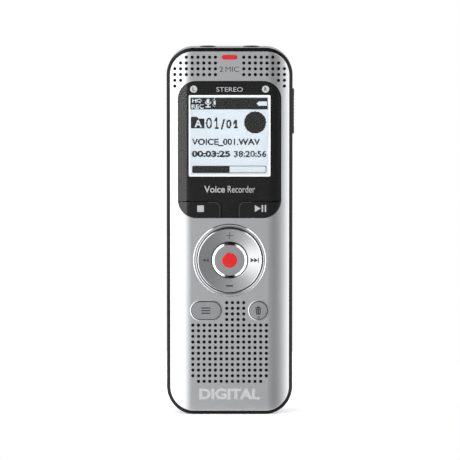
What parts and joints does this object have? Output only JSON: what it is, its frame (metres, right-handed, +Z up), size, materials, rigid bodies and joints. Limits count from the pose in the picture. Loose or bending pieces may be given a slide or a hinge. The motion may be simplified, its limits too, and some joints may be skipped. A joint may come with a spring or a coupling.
{
  "type": "handheld voice recorder",
  "caption": "Slim upright voice recorder: satin skin in a black case, square display, four-way ring with record key, sliding cell door.",
  "frame": {"origin": "centre of the case's flat bottom end, where it stands upright", "axes": "+Z up along the case to the sockets' end, +Y from the display towards the back, +X to the right seen from the front"},
  "size_m": [0.0376, 0.0187, 0.1083],
  "materials": {
    "silver_skin": "fine satin",
    "silver_paint": "silver paint on moulded plastic, satin",
    "chrome_trim": "bright plating on plastic",
    "black_plastic": "moulded, fine texture",
    "black_gloss": "moulded, high gloss",
    "clear_acrylic": "polished",
    "printed_film": "black print",
    "red_acrylic": "tinted, polished",
    "led_resin": "clear resin",
    "display_glass": "polarising film on glass",
    "white_plastic": "moulded",
    "polyimide": "thin film",
    "circuit_board": "solder mask",
    "chip_resin": "moulded epoxy",
    "silicone": "matt",
    "foam": "closed-cell foam",
    "black_cloth": "fine weave",
    "paper": "pressed pulp",
    "socket_plastic": "moulded nylon",
    "steel": "plated",
    "cell_wrap": "printed wrap on steel"
  },
  "bodies": {
    "case": {"front_cover": "silver_skin", "front_housing": "black_plastic", "rear_housing": "black_plastic", "window_lens": "clear_acrylic", "window_mask": "printed_film", "window_adhesive": "foam", "ring_bezel": "chrome_trim", "led_light_pipe": "red_acrylic", "record_led": "led_resin", "lcd_glass": "display_glass", "lcd_backlight": "white_plastic", "lcd_holder": "black_plastic", "lcd_flex": "polyimide", "main_board": "circuit_board", "board_chips": "chip_resin", "keypad_mat": "silicone", "key_domes": "steel", "mic_capsules": "steel", "mic_boots": "silicone", "speaker_mesh": "black_cloth", "speaker_gasket": "foam", "speaker_basket": "steel", "speaker_cone": "paper", "speaker_magnet": "steel", "headphone_jack": "socket_plastic", "microphone_jack": "socket_plastic", "usb_shell": "steel", "usb_tongue": "socket_plastic", "switch_body": "socket_plastic", "battery_left": "cell_wrap", "battery_right": "cell_wrap", "contact_plates": "steel", "battery_springs": "steel", "housing_screws": "steel"},
    "stop_button": {"stop_key": "black_gloss"},
    "play_button": {"play_key": "black_gloss"},
    "nav_carrier": {"nav_carrier": "socket_plastic"},
    "nav_ring": {"nav_ring": "silver_paint"},
    "record_button": {"record_key": "chrome_trim", "record_dot": "red_acrylic"},
    "menu_button": {"menu_key": "silver_paint"},
    "delete_button": {"delete_key": "silver_paint"},
    "hold_slider": {"hold_slider": "silver_paint"},
    "battery_cover": {"battery_door": "black_plastic", "door_pad": "foam"}
  },
  "joints": [
    {"name": "stop_press", "type": "slide", "parent": "case", "child": "stop_button", "axis": [0, 1, 0], "range_m": [0, 0.0003], "stiffness_N_per_m": 400, "springref_m": -0.0004},
    {"name": "play_press", "type": "slide", "parent": "case", "child": "play_button", "axis": [0, 1, 0], "range_m": [0, 0.0003], "stiffness_N_per_m": 400, "springref_m": -0.0004},
    {"name": "record_press", "type": "slide", "parent": "case", "child": "record_button", "axis": [0, 1, 0], "range_m": [0, 0.0003], "stiffness_N_per_m": 400, "springref_m": -0.0004},
    {"name": "menu_press", "type": "slide", "parent": "case", "child": "menu_button", "axis": [0, 1, 0], "range_m": [0, 0.0003], "stiffness_N_per_m": 400, "springref_m": -0.0004},
    {"name": "delete_press", "type": "slide", "parent": "case", "child": "delete_button", "axis": [0, 1, 0], "range_m": [0, 0.0003], "stiffness_N_per_m": 400, "springref_m": -0.0004},
    {"name": "nav_tilt_x", "type": "hinge", "parent": "case", "child": "nav_carrier", "pos_m": [0, -0.00725, 0.0456], "axis": [1, 0, 0], "range_deg": [-1.5, 1.5], "stiffness_Nm_per_rad": 0.02},
    {"name": "nav_tilt_z", "type": "hinge", "parent": "nav_carrier", "child": "nav_ring", "pos_m": [0, -0.00725, 0.0456], "axis": [0, 0, 1], "range_deg": [-1.5, 1.5], "stiffness_Nm_per_rad": 0.02},
    {"name": "hold_slide", "type": "slide", "parent": "case", "child": "hold_slider", "axis": [0, 0, 1], "range_m": [-0.0015, 0.0015]},
    {"name": "door_slide", "type": "slide", "parent": "case", "child": "battery_cover", "axis": [0, 0, -1], "range_m": [0, 0.062]}
  ]
}
